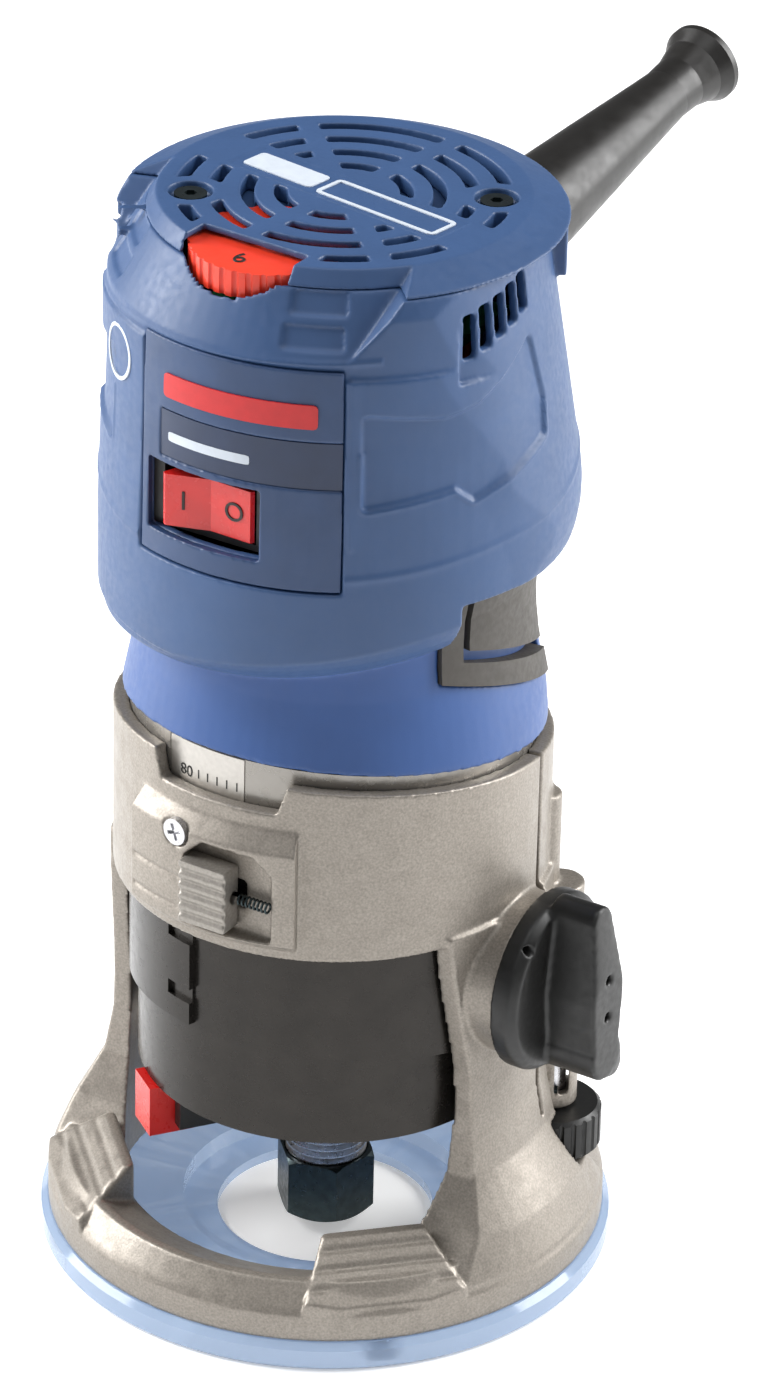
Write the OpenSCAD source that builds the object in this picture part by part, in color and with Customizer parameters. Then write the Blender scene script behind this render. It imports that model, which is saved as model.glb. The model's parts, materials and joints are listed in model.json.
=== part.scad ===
// Trim router: a palm-size router motor in a fixed base.
// Origin on the spindle axis at the underside of the clear sub-base.
// +Z is up, -Y is the front with the switch, +X is the side with the clamp knob.

/* [Base] */
// Diameter of the clear sub-base
base_d = 110.8; // [110:0.2:112]
// Thickness of the sub-base
plate_t = 5.6; // [5:0.2:6.4]
// Diameter of the opening for the bit
opening_d = 42; // [40:0.5:44]
// Height of the clamp ring's upper edge
ring_top = 112; // [110:0.5:113]
// Height of the clamp ring's lower edge
ring_bottom = 81; // [79:0.5:82]

/* [Motor] */
// Diameter of the metal motor housing
motor_d = 76.6; // [76.2:0.1:76.8]
// Height of the motor housing's lower edge when fully lowered
motor_low = 38.8; // [38:0.2:40]
// Clearance between motor housing and clamp ring, on the radius
slide_fit = 0.1; // [0.05:0.01:0.1]
// Diameter of the router bit shank that the collet takes
shank_d = 6.35; // [6:0.05:6.35]
// Width across the flats of the collet nut
nut_af = 17; // [16:0.5:19]

/* [Housing] */
// Height of the flat top
top_z = 217.6; // [216:0.2:219]
// Diameter of the flat top
top_d = 67.8; // [66:0.2:69]
// Wall of the plastic housing
wall = 2.4; // [2:0.1:2.8]

/* [Travel] */
// Travel of the fine depth adjustment
fine_travel = 12; // [8:0.5:12]
// Travel of the release latch
latch_travel = 4; // [3:0.5:4]

/* [Hidden] */
$fn = 72;
eps = 0.02;
// Gap left between two pieces of one body that lie against each other
seat = 0.05;

// Base
plate_r = base_d / 2;
foot_r = plate_r - 1.4;
foot_inner_r = 40;
foot_top = 16.5;
ring_inner_r = motor_d / 2 + slide_fit;
ring_outer_r = 41.4;
leg_angle = 90;
pad_angle = 45;
screw_r = 47;
rim_tilt = 7.2;

// Fine adjustment column, behind the right leg
column_angle = 117;
column_rho = 43.6;
thread_r = 2.5;
wheel_r = 9.6;
wheel_low = 20;
wheel_t = 9;
carriage_low = 44;
carriage_h = 10;
slot_w = 8.8;

// Clamp knob, on the right leg
knob_z = 69;
knob_back = 46;
knob_t = 5;
knob_r = 17.5;
pivot_r = 3;
running = 0.05;

// Release latch, on the front of the ring
latch_z = 93.3;
latch_w = 10;
latch_h = 12.6;
latch_x = -4.2;
tongue_h = 5;

// Motor
motor_r = motor_d / 2;
sleeve_bore_r = motor_r - 2.5;
collar_r = 36.6;
collar_top = 121.4;
grip_low = 114.3;
grip_tilt = 8.05;
track_r = 36.9;
shaft_r = 5;
shoulder_r = 8;
upper_shaft_r = 4;
thread_top_r = 7.9;
nut_low = 2.2;
nut_h = 13.2;
bearing_low = 34;
lock_z = 32.2;
lock_travel = 3;
fan_low = 47.2;
core_low = 62;
core_h = 36;
comm_low = 114;
comm_h = 15;
upper_bearing_low = 140;

// Housing
head_back = 3.2;
slope_from = -62;
slope_to = 44;
slope_r = 42.3;
slope_low = 203.2;
panel_to = 33.3;
seam_z = 214.25;
crease_tilt = 9;
crease_angle = 122;
dial_angle = -3;
dial_rho = 21.8;
dial_r = 15;
dial_top = 215.6;
dial_t = 5;
rocker_x = -2.2;
rocker_z = 170.5;
rocker_pivot_y = -36.5;
vent_angles = [65, 70.5, 76, 81.5, 87];
cap_screw_angles = [-56, 118.6];
cap_screw_rho = 27.5;
boot_angle = 175.5;
boot_rise = 11.5;
boot_rho = 47.2;
boot_z = 190.8;
boot_len = 70.5;
cord_r = 3.7;
lock_angle = -36;
pad_tilt = 18.5;

// Turns its children so that local +X points outward at angle a, counted from the front towards the right
module around(a) rotate([0, 0, a - 90]) children();

// Revolves a profile from angle a0 to angle a1
module sector(a0, a1) rotate([0, 0, a0 - 90]) rotate_extrude(angle = a1 - a0) children();

module ring(r_out, r_in, z0, h) {
    translate([0, 0, z0]) difference() {
        cylinder(r = r_out, h = h);
        translate([0, 0, -1]) cylinder(r = r_in, h = h + 2);
    }
}

// Everything above a plane through height z on the axis that falls by tilt degrees towards the back
module above(z, tilt) translate([0, 0, z]) rotate([-tilt, 0, 0]) translate([-90, -90, 0]) cube([180, 180, 60]);
module below(z, tilt) translate([0, 0, z]) rotate([-tilt, 0, 0]) translate([-90, -90, -60]) cube([180, 180, 60]);

// ---------- Base ----------

// Side view of one leg, narrow at the waist and flared at the foot
module leg_outline() {
    half = [[19, ring_bottom + 4], [17.5, 72], [14, 52], [13.6, 42.4], [15, 30.2], [19, 21.6], [26, 12.3], [26, 7]];
    polygon(concat(half, [for (i = [len(half) - 1:-1:0]) [-half[i][0], half[i][1]]]));
}

// Cut through the wall of a leg from the axis outwards
module leg_profile() {
    polygon([[ring_inner_r + 0.6, 8], [53.4, 8], [53.4, 13], [50.5, 20], [47.5, 25.5], [44.6, 31], [43, 40],
        [42.6, 60], [42.4, ring_bottom + 2], [ring_inner_r + 0.6, ring_bottom + 2]]);
}

module legs() {
    for (side = [-1, 1])
        intersection() {
            sector(side * leg_angle - 45, side * leg_angle + 45) leg_profile();
            rotate([90, 0, 90]) translate([0, 0, side > 0 ? 20 : -80]) linear_extrude(60) leg_outline();
        }
}

module foot_ring() {
    rotate_extrude() polygon([[foot_inner_r, plate_t], [foot_r, plate_t], [foot_r, 11], [foot_r - 0.8, 12.4],
        [50, foot_top], [48.4, foot_top], [foot_inner_r, 12.6]]);
}

// Wedge for a finger, with four grooves across its slope
module finger_pad() {
    difference() {
        hull() {
            for (s = [-1, 1]) {
                translate([52.3, s * 15, plate_t + 0.4]) cylinder(r = 1, h = 7, $fn = 24);
                translate([40.8, s * 9, plate_t + 0.4]) cylinder(r = 1, h = 15.6, $fn = 24);
            }
        }
        for (i = [0:2])
            translate([44.1 + 3 * i, -20, 20.5 - 2.3 * i]) rotate([-90, 0, 0]) cylinder(r = 0.85, h = 40);
    }
}

module clamp_ring() {
    difference() {
        union() {
            ring(ring_outer_r, ring_inner_r, ring_bottom, 40);
            latch_block();
        }
        above(ring_top, rim_tilt);
        // Scallop in the front rim that uncovers the depth scale
        translate([0, -36, ring_top + 1.6]) rotate([90, 0, 0])
            linear_extrude(12) polygon([[-12.5, -2.4], [12.5, -2.4], [17, 12], [-17, 12]]);
        latch_pocket();
    }
}

// Raised block that carries the latch
module latch_block() {
    difference() {
        sector(-25, 23.5) polygon([[ring_outer_r - 0.6, 82.5], [44.4, 85.2], [44.4, 104.4], [ring_outer_r - 0.6, 108.8]]);
        for (z = [88.2, 94.4])
            sector(-24, -7) translate([44.5, z]) circle(r = 0.6, $fn = 24);
    }
}

// Six-sided recess with a slot through the ring for the latch tongue
module latch_pocket() {
    translate([0, -40.9, 0]) rotate([90, 0, 0]) linear_extrude(8)
        polygon([[-4.6, 85.6], [13.4, 85.6], [13.4, 99.6], [9.6, 103.2], [-0.4, 103.6], [-4.6, 99.8]]);
    translate([latch_x + 2.6, -42, latch_z - tongue_h / 2 - 0.4]) cube([4 + latch_travel + 0.8, 6, tongue_h + 0.8]);
}

module at_column() {
    around(column_angle) translate([column_rho, 0, 0]) children();
}

module column() {
    at_column() translate([0, 0, 12]) cylinder(r = 4.7, h = 66);
    around(column_angle) translate([column_rho - 5, -4.7, 12]) cube([5, 9.4, 66]);
    around(column_angle) translate([39.8, 0, 78 - eps]) cylinder(r = 3.6, h = 19);
}

module knob_boss() {
    translate([39.5, 0, knob_z]) rotate([0, 90, 0]) cylinder(r = 15.6, h = knob_back - 0.5 - 39.5);
}

module base_casting() color([0.62, 0.60, 0.57]) {
    difference() {
        union() {
            foot_ring();
            legs();
            clamp_ring();
            intersection() {
                union() {
                    for (a = [-1, 1]) around(a * pad_angle) finger_pad();
                }
                cylinder(r = foot_r, h = 60);
            }
            column();
            knob_boss();
        }
        // Bore for the motor
        translate([0, 0, 18]) cylinder(r = ring_inner_r, h = 120);
        // Slot for the depth carriage, with the lead screw's two bearings at its ends
        around(column_angle) translate([34, -slot_w / 2, wheel_low + wheel_t + 3.5])
            cube([column_rho + 3.1 - 34, slot_w, 70 - wheel_low - wheel_t - 3.5]);
        at_column() translate([0, 0, 10]) cylinder(r = thread_r + running, h = 65);
        // Pocket for the thumb wheel
        at_column() translate([0, 0, wheel_low - 0.5]) cylinder(r = wheel_r + 0.7, h = wheel_t + 1);
        // Split that lets the ring close on the motor
        around(101) translate([30, -0.6, 32.5]) cube([24, 1.2, 100]);
        // Thread for the clamp pivot
        translate([38.4, 0, knob_z]) rotate([0, 90, 0]) cylinder(r = pivot_r + seat, h = 10);
        translate([41, -9.5, knob_z]) rotate([0, 90, 0]) cylinder(r = 1.5 + seat, h = 10);
        // Latch screw
        around(-8.5) translate([0, 0, 103.8]) rotate([0, 90, 0]) {
            translate([0, 0, 38]) cylinder(r = 1.5 + seat, h = 8);
            translate([0, 0, 43.2]) cylinder(r = 3, h = 6);
        }
        // Threads for the sub-base screws
        for (a = [45:90:359]) around(a) translate([screw_r, 0, 0]) cylinder(r = 2, h = 13);
    }
}

module sub_base() color([0.75, 0.85, 0.95, 0.5]) {
    difference() {
        rotate_extrude() polygon([[opening_d / 2, 0], [plate_r - 0.8, 0], [plate_r, 0.8], [plate_r, plate_t - 1.2],
            [plate_r - 1.2, plate_t - seat], [opening_d / 2, plate_t - seat]]);
        translate([0, 0, 2]) cylinder(r = 27.7, h = 10);
        for (a = [45:90:359]) around(a) translate([screw_r, 0, -1]) {
            cylinder(r = 2.3, h = 10);
            cylinder(r = 4.3, h = 3.6);
        }
    }
}

module sub_base_screws() color([0.45, 0.45, 0.47]) {
    for (a = [45:90:359]) around(a) translate([screw_r, 0, 0]) difference() {
        union() {
            translate([0, 0, 0.4]) cylinder(r = 3.9, h = 2.15);
            translate([0, 0, 2]) cylinder(r = 2 - seat, h = 9.5);
        }
        for (t = [0, 90]) rotate([0, 0, t]) translate([-2.2, -0.45, 0]) cube([4.4, 0.9, 1.6]);
    }
}

// ---------- Clamp knob ----------

module clamp_pivot() color([0.7, 0.7, 0.72]) {
    translate([0, 0, knob_z]) rotate([0, 90, 0]) {
        translate([0, 0, 39.2]) cylinder(r = pivot_r, h = 14);
        translate([0, 0, knob_back + 7.2]) cylinder(r = 4.4, h = 1.8);
    }
}

module clamp_pin() color([0.6, 0.6, 0.62]) {
    translate([0, -9.5, knob_z]) rotate([0, 90, 0]) translate([0, 0, 41.5]) cylinder(r = 1.5, h = 5.4);
}

// Steel disc whose arc slot draws the pin in as it turns
module clamp_cam() color([0.55, 0.55, 0.56]) {
    translate([0, 0, knob_z]) rotate([0, 90, 0]) translate([0, 0, knob_back - 0.3]) difference() {
        cylinder(r = 13.6, h = 1.6);
        translate([0, 0, -1]) cylinder(r = pivot_r + running, h = 4);
        rotate([0, 0, -115]) rotate_extrude(angle = 130) translate([9.5 - 1.7, -1]) square([3.4, 4]);
    }
}

module clamp_knob() color([0.08, 0.08, 0.08]) {
    translate([0, 0, knob_z]) rotate([0, 90, 0]) difference() {
        union() {
            rotate_extrude() polygon([[0, knob_back], [knob_r, knob_back], [knob_r, knob_back + knob_t - 1.6],
                [knob_r - 1.6, knob_back + knob_t], [0, knob_back + knob_t]]);
            // Wing
            hull() {
                for (p = [[-15.5, 3.4, 9.5], [0, 5.6, 11.5], [13, 4.4, 11.5]])
                    translate([p[0], 0, knob_back + knob_t - 1]) cylinder(r = p[1], h = p[2], $fn = 32);
            }
            // Lobe that the thumb pushes
            hull() {
                translate([12, 0, knob_back + knob_t - 1]) cylinder(r = 5, h = 11.5, $fn = 32);
                translate([17, 5, knob_back + knob_t + 3]) cylinder(r = 2.4, h = 6.5, $fn = 32);
            }
        }
        // Seat for the cam
        translate([0, 0, knob_back - 1]) cylinder(r = 13.7, h = 2.35);
        translate([0, 0, knob_back - 2]) cylinder(r = pivot_r + running, h = 9);
        translate([0, 0, knob_back + 7]) cylinder(r = 4.6, h = 2.3);
        translate([-12, -11, knob_back + 2]) cylinder(r = 0.9, h = 10);
        for (s = [-1, 1]) translate([4 * s, 0, knob_back + knob_t + 8.5]) cylinder(r = 1, h = 6);
    }
}

// ---------- Depth adjustment ----------

module fine_adjust_screw() color([0.7, 0.7, 0.72]) {
    at_column() {
        translate([0, 0, 14]) cylinder(r = thread_r, h = 60);
        // Thread crests
        for (z = [carriage_low - 6:1.6:carriage_low - 2]) ring(thread_r + 0.25, thread_r - 0.5, z, 0.6);
    }
}

module fine_adjust_knob() color([0.1, 0.1, 0.1]) {
    at_column() translate([0, 0, wheel_low]) difference() {
        rotate_extrude() polygon([[0, 0], [wheel_r - 0.8, 0], [wheel_r, 0.8], [wheel_r, wheel_t - 0.8],
            [wheel_r - 0.8, wheel_t], [0, wheel_t]]);
        translate([0, 0, -1]) cylinder(r = thread_r + 0.01, h = wheel_t + 2);
        for (a = [0:15:359]) rotate([0, 0, a]) translate([wheel_r + 0.2, 0, -1]) cylinder(r = 0.6, h = wheel_t + 2);
    }
}

// Clip that keeps the lead screw from lifting
module adjuster_clip() color([0.3, 0.3, 0.3]) {
    at_column() translate([0, 0, wheel_low + wheel_t + 3.6]) difference() {
        cylinder(r = 4, h = 0.8);
        translate([0, 0, -1]) cylinder(r = thread_r + running, h = 3);
        translate([1.2, -5, -1]) cube([4, 10, 3]);
    }
}

// Nut on the lead screw with a tooth in the motor housing's rack
module depth_carriage() color([0.75, 0.65, 0.35]) {
    difference() {
        around(column_angle) translate([38.9, -slot_w / 2 + 0.3, carriage_low])
            cube([column_rho + 2.2 - 38.9, slot_w - 0.6, carriage_h]);
        at_column() translate([0, 0, carriage_low - 1]) cylinder(r = thread_r + running, h = carriage_h + 2);
    }
    around(column_angle) translate([37.4, -2, carriage_low + 3]) cube([2, 4, 4]);
}

// ---------- Release latch ----------

module release_latch() color([0.55, 0.53, 0.50]) {
    difference() {
        translate([latch_x, -46.2, latch_z - latch_h / 2]) cube([latch_w, 5, latch_h]);
        for (i = [0:4])
            translate([latch_x - 1, -46.4, latch_z - latch_h / 2 + 1.8 + 2.25 * i])
                rotate([0, 90, 0]) cylinder(r = 0.65, h = latch_w + 2);
        // Seat for the spring
        translate([latch_x + latch_w - 3, -42.6, latch_z]) rotate([0, 90, 0]) cylinder(r = 1.25, h = 4);
    }
    // Tongue through the ring into the housing's track
    translate([latch_x + 3, -42, latch_z - tongue_h / 2]) cube([4, 4.4, tongue_h]);
}

// Drawn at its pressed length
module latch_spring() color([0.7, 0.7, 0.7]) {
    translate([latch_x + latch_w + latch_travel - 2.9, -42.6, latch_z]) rotate([0, 90, 0]) coil(0.9, 0.22, 6.4);
}

// Coil spring along Z, drawn as closed rings on a thin stem
module coil(r, wire, h) {
    turns = floor(h / (wire * 4));
    for (i = [0:turns]) translate([0, 0, wire + i * (h - 2 * wire) / turns]) rotate_extrude() translate([r, 0])
        circle(r = wire, $fn = 16);
    translate([r - wire * 0.6, -wire * 0.6, wire]) cube([wire * 1.2, wire * 1.2, h - 2 * wire]);
}

module latch_screw() color([0.6, 0.58, 0.55]) {
    around(-8.5) translate([39.5, 0, 103.8]) rotate([0, 90, 0]) difference() {
        union() {
            cylinder(r = 1.5, h = 4.4);
            translate([0, 0, 3.75]) cylinder(r = 2.6, h = 1.3);
        }
        for (t = [0, 90]) rotate([0, 0, t + 20]) translate([-1.7, -0.35, 4.3]) cube([3.4, 0.7, 2]);
    }
}

// ---------- Motor ----------

module motor_housing() color([0.22, 0.20, 0.19]) {
    difference() {
        union() {
            intersection() {
                translate([0, 0, motor_low]) cylinder(r = motor_r, h = 90);
                below(grip_low, grip_tilt);
            }
            translate([0, 0, motor_low]) cylinder(r = collar_r, h = collar_top - motor_low);
        }
        translate([0, 0, motor_low - 1]) cylinder(r = sleeve_bore_r, h = 100);
        // Front track for the latch tongue, with stepped notches on its left side
        translate([0, 0, motor_low - 1]) sector(-11, 16) translate([track_r, 0]) square([4, 70]);
        for (i = [0:2])
            translate([0, 0, motor_low + 12 + 12.7 * i]) sector(-20, -10) translate([track_r + 0.5, 0]) square([4, 3]);
        // Rack groove for the depth carriage
        around(column_angle) translate([track_r, -2.6, motor_low - 1]) cube([4, 5.2, 66]);
        for (i = [0:2])
            around(column_angle) translate([track_r + 0.4, -3.6, carriage_low + 3 + 12.7 * i]) cube([4, 7.2, 4]);
        // Seat of the depth scale
        sector(-19.4, 7.4) translate([motor_r - 0.3, 108.8]) square([4, 12]);
    }
}

// Bright strip with the depth marks, seen through the scallop in the ring
module depth_scale() color([0.75, 0.75, 0.75]) {
    intersection() {
        sector(-19, 7) translate([motor_r - 0.28, 109]) square([0.26, 12]);
        below(grip_low - 0.2, grip_tilt);
    }
}

// Lower end bell that carries the spindle bearing
module bearing_nose() color([0.28, 0.27, 0.26]) {
    difference() {
        union() {
            rotate_extrude() polygon([[0, 33], [15.5, 33], [17, 34.5], [19, 37.5], [33, 40.5], [35.7, 42],
                [35.7, 50], [33, 50], [33, 44], [17.5, 43.6], [0, 43.6]]);
            // Housing of the lock button
            around(lock_angle) translate([14, -7.2, 30]) cube([19, 14.4, 10]);
        }
        translate([0, 0, bearing_low + 0.6]) cylinder(r = 14, h = 12);
        translate([0, 0, 20]) cylinder(r = 8.4, h = 40);
        // Guide for the lock button, and the bore of its spring
        around(lock_angle) {
            translate([7, -2.2, 29]) cube([30, 4.4, lock_z + 2.2 - 29]);
            translate([25.4, -4.4, 29]) cube([20, 8.8, 9.8]);
            translate([19, 3, lock_z]) rotate([0, 90, 0]) cylinder(r = 1.1, h = 8);
        }
        for (a = [20, 110, 200, 290]) around(a) translate([29, 0, 36]) cylinder(r = 1.6, h = 20);
    }
}

module nose_screws() color([0.5, 0.5, 0.5]) {
    for (a = [20, 110, 200, 290]) around(a) translate([29, 0, 0]) {
        translate([0, 0, 44.2]) cylinder(r = 2.8, h = 1.8);
        translate([0, 0, 40.5]) cylinder(r = 1.55, h = 4);
    }
}

// Ball bearing: outer race, inner race and eight balls
module bearing(r_out, r_in, h) {
    mid = (r_out + r_in) / 2;
    half = (r_out - r_in) / 2;
    difference() {
        ring(r_out, mid + half * 0.32, 0, h);
        translate([0, 0, h / 2]) rotate_extrude() translate([mid, 0]) circle(r = half * 0.52);
    }
    difference() {
        ring(mid - half * 0.32, r_in, 0, h);
        translate([0, 0, h / 2]) rotate_extrude() translate([mid, 0]) circle(r = half * 0.52);
    }
    for (a = [0:45:359]) rotate([0, 0, a]) translate([mid, 0, h / 2]) sphere(r = half * 0.5);
}

module lower_bearing() color([0.75, 0.75, 0.77]) {
    translate([0, 0, bearing_low + 0.6 + seat]) bearing(14 - 0.02, 6.05, 8);
}

module upper_bearing() color([0.75, 0.75, 0.77]) {
    translate([0, 0, upper_bearing_low]) bearing(11 - 0.02, upper_shaft_r + running, 7);
}

module spindle_lock() color([0.85, 0.1, 0.08]) {
    around(lock_angle) {
        translate([29, -4, 27.8]) cube([9, 8, 10.5]);
        translate([14, -1.8, lock_z - 1.8]) cube([16, 3.6, 3.6]);
        translate([shoulder_r + 0.3 + lock_travel, 0, lock_z]) rotate([0, 90, 0]) cylinder(r = 1.4, h = 4);
    }
}

// Drawn at its pressed length
module lock_spring() color([0.7, 0.7, 0.7]) {
    around(lock_angle) translate([19.1, 3, lock_z]) rotate([0, 90, 0]) coil(0.8, 0.2, 6.7);
}

module air_baffle() color([0.12, 0.12, 0.12]) {
    ring(sleeve_bore_r - seat, 22, 56.7, 1.2);
    ring(sleeve_bore_r - seat, sleeve_bore_r - 1.8, 50.2, 6.6);
}

module stator_core() color([0.5, 0.5, 0.52]) {
    difference() {
        translate([0, 0, core_low]) cylinder(r = sleeve_bore_r - 0.1, h = core_h);
        translate([0, 0, core_low - 1]) cylinder(r = 20.2, h = core_h + 2);
        // Winding slots above and below the two poles
        for (s = [-1, 1]) translate([-19.5, s * 25 - 4, core_low - 1]) cube([39, 8, core_h + 2]);
        // Flats that let the cooling air pass
        for (s = [-1, 1]) translate([s * 35 - 2, -14, core_low - 1]) cube([4, 28, core_h + 2]);
    }
}

module stator_windings() color([0.72, 0.35, 0.15]) {
    for (s = [-1, 1]) {
        translate([-18.5, s * 25 - 3, core_low - 3]) cube([37, 6, core_h + 6]);
        for (z = [core_low - 4, core_low + core_h + 0.3])
            translate([-20, s * 25 - 4.5, z]) cube([40, 9, 3.7]);
    }
}

module bearing_bridge() color([0.15, 0.15, 0.16]) {
    difference() {
        union() {
            ring(13.4, 11, 137.6, 9.8);
            translate([-33, -5, 137.6]) cube([66, 10, 3]);
            translate([-5, -33, 137.6]) cube([10, 66, 3]);
            // Posts that carry the brush holders
            for (s = [-1, 1]) translate([s * 22.6 - 8, -4.4, 127.55]) cube([16, 8.8, 10.1]);
        }
        translate([0, 0, 136]) cylinder(r = 9, h = 20);
        translate([0, 0, upper_bearing_low - seat]) cylinder(r = 11, h = 12);
    }
}

module brush_holders() color([0.78, 0.62, 0.25]) {
    for (s = [-1, 1]) translate([s * 22.6, 0, comm_low + comm_h / 2]) difference() {
        cube([19, 9, 12], center = true);
        cube([25, 5.2, 8.2], center = true);
    }
}

module carbon_brushes() color([0.15, 0.15, 0.15]) {
    for (s = [-1, 1]) translate([s * 18.6, 0, comm_low + comm_h / 2]) cube([12, 5, 8], center = true);
}

module brush_springs() color([0.7, 0.7, 0.72]) {
    for (s = [-1, 1]) translate([s * 24.8, 0, comm_low + comm_h / 2]) rotate([0, s * 90, 0]) coil(1.7, 0.3, 7);
}

// ---------- Rotor ----------

module spindle() color([0.7, 0.7, 0.72]) {
    difference() {
        union() {
            translate([0, 0, 14]) cylinder(r = 6.9, h = 12);
            for (i = [0:6]) translate([0, 0, 15 + 1.5 * i]) rotate_extrude() polygon([[0, 0], [6.9, 0],
                [thread_top_r, 0.5], [thread_top_r, 0.8], [6.9, 1.3], [0, 1.3]]);
            translate([0, 0, 25.5]) cylinder(r = shoulder_r, h = 8.6);
            translate([0, 0, 34]) cylinder(r = 6, h = 20);
            translate([0, 0, 54]) cylinder(r = shaft_r, h = 84);
            translate([0, 0, 138]) cylinder(r = upper_shaft_r, h = 10);
        }
        // Tapered seat and shank hole for the collet
        translate([0, 0, 13.9]) cylinder(r1 = 6.05, r2 = 4.9, h = 10);
        translate([0, 0, 13]) cylinder(r = 3.6, h = 34);
        // Holes for the lock pin
        for (a = [0, 90]) around(lock_angle + a) translate([-12, 0, lock_z]) rotate([0, 90, 0])
            cylinder(r = 1.55, h = 24);
    }
}

module cooling_fan() color([0.2, 0.2, 0.2]) {
    difference() {
        union() {
            translate([0, 0, fan_low]) cylinder(r = 32, h = 1.2);
            translate([0, 0, fan_low]) cylinder(r = 10, h = 8.8);
            for (a = [0:24:359]) rotate([0, 0, a]) translate([9, -0.6, fan_low + 1]) cube([22, 1.2, 7.4]);
        }
        translate([0, 0, 40]) cylinder(r = 6 + 0.02, h = 20);
    }
}

module armature_core() color([0.45, 0.45, 0.48]) {
    difference() {
        translate([0, 0, core_low + 1]) cylinder(r = 19.4, h = core_h - 2);
        translate([0, 0, core_low]) cylinder(r = shaft_r + 0.02, h = core_h + 2);
        for (a = [0:30:359]) rotate([0, 0, a]) {
            translate([10, -1.9, core_low]) cube([7, 3.8, core_h + 2]);
            translate([16.5, -0.9, core_low]) cube([4, 1.8, core_h + 2]);
        }
    }
}

module armature_windings() color([0.75, 0.38, 0.15]) {
    for (a = [0:30:359]) rotate([0, 0, a]) translate([10.2, -1.7, core_low - 2]) cube([6.4, 3.4, core_h + 4]);
    ring(17, 7.5, core_low - 3, 3.2);
    ring(16, 7.5, core_low + core_h - 0.2, 6);
}

module commutator() color([0.80, 0.48, 0.25]) {
    difference() {
        union() {
            translate([0, 0, comm_low]) cylinder(r = 12.4, h = comm_h);
            translate([0, 0, comm_low - 2]) cylinder(r = 13.6, h = 2.2);
        }
        translate([0, 0, comm_low - 5]) cylinder(r = shaft_r + 0.02, h = comm_h + 10);
        for (a = [0:15:359]) rotate([0, 0, a]) translate([11.4, -0.25, comm_low + 0.2]) cube([3, 0.5, comm_h + 2]);
    }
}

module collet() color([0.6, 0.6, 0.62]) {
    difference() {
        union() {
            translate([0, 0, 14.2]) cylinder(r1 = 5.95, r2 = 4.95, h = 8.8);
            translate([0, 0, 6]) cylinder(r = 5.6, h = 8.3);
            translate([0, 0, 8.4]) cylinder(r = 6.2, h = 1.6);
        }
        translate([0, 0, 5]) cylinder(d = shank_d, h = 30);
        for (a = [45, 135]) rotate([0, 0, a]) translate([-10, -0.3, 9]) cube([20, 0.6, 20]);
    }
}

module collet_nut() color([0.14, 0.18, 0.19]) {
    difference() {
        intersection() {
            translate([0, 0, nut_low]) rotate([0, 0, 14.8]) cylinder(d = nut_af / cos(30), h = nut_h, $fn = 6);
            translate([0, 0, nut_low]) rotate_extrude() polygon([[0, 0], [7.6, 0], [9.9, 1.6],
                [9.9, nut_h - 0.8], [9, nut_h], [0, nut_h]]);
        }
        translate([0, 0, 1]) cylinder(r = 5.1, h = 8);
        translate([0, 0, 5.6]) cylinder(r = 6.5, h = 8.6);
        translate([0, 0, 13.6]) cylinder(r = 8.2, h = 10);
    }
}

// ---------- Housing ----------

// Outside of the head and grip, one solid of revolution after another
module head_outside() {
    intersection() {
        union() {
            translate([0, 0, 120]) cylinder(r = 43.3, h = 80);
            rotate_extrude() polygon([[0, 140], [44.2, 140], [44.2, 158], [43.2, 190], [43, 199.5], [42.5, 200.5],
                [42.5, 211], [41, 214.6], [top_d / 2, top_z], [0, top_z]]);
            translate([0, head_back, 0]) rotate_extrude() polygon([[0, 140], [45, 140], [45, 174],
                [42.6, 200], [0, 200]]);
        }
        skirt_bowl(0);
        front_slope(0);
    }
}

// Bowl that rounds the underside of the head, tilted with the crease
module skirt_bowl(inset) {
    r0 = 34 - inset;
    dr = 13.6;
    h = 20;
    around(crease_angle) translate([0, 0, 141.5 + inset]) rotate([0, -crease_tilt, 0])
        rotate_extrude() polygon(concat([[0, -8], [r0, -8]],
            [for (t = [0:10:90]) [r0 + dr * sin(t), -3 + h * (1 - cos(t))]], [[r0 + dr, 100], [0, 100]]));
}

// Long slope of the front shoulder, between the flat top and the step
module front_slope(inset) {
    difference() {
        cylinder(r = 80, h = top_z + 1);
        front_cut(inset);
    }
}

module front_cut(inset = 0) {
    intersection() {
        sector(slope_from - 22, slope_to + 12) polygon([[top_d / 2 - inset - 0.2, top_z + 2], [top_d / 2 - inset - 0.2, top_z],
            [slope_r - inset, slope_low + 0.3], [slope_r - inset, slope_low], [90, slope_low], [90, top_z + 2]]);
        // Its ends run out diagonally
        around(slope_to - 1.5) translate([0, -6.6, slope_low]) rotate([-42.5, 0, 0])
            translate([-20, -130, -90]) cube([110, 130, 180]);
        around(slope_from - 9.5) translate([0, 6.6, slope_low]) rotate([42.5, 0, 0])
            translate([-20, 0, -90]) cube([110, 130, 180]);
    }
}

module grip_outside() {
    rotate_extrude() polygon([[0, 100], [40.1, 100], [40.0, 114], [39.6, 118.5], [38.6, 123.5], [37.7, 128],
        [36.9, 132.5], [36.4, 137], [36.2, 141], [36.4, 146], [37.5, 151], [39, 156], [0, 156]]);
}

module head_inside() {
    intersection() {
        union() {
            translate([0, 0, 156]) cylinder(r = 40.6, h = 58);
            translate([0, head_back, 0]) rotate_extrude() polygon([[0, 156], [42.4, 156], [42.4, 174],
                [40.2, 199], [0, 199]]);
        }
        skirt_bowl(wall);
        front_slope(wall);
    }
    // Cavity of the grip above the motor housing's collar
    rotate_extrude() polygon([[0, 90], [collar_r + seat, 90], [collar_r + seat, collar_top + seat],
        [35, collar_top + 4], [33.6, 133], [33.4, 148], [34.5, 158], [0, 158]]);
}

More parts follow.
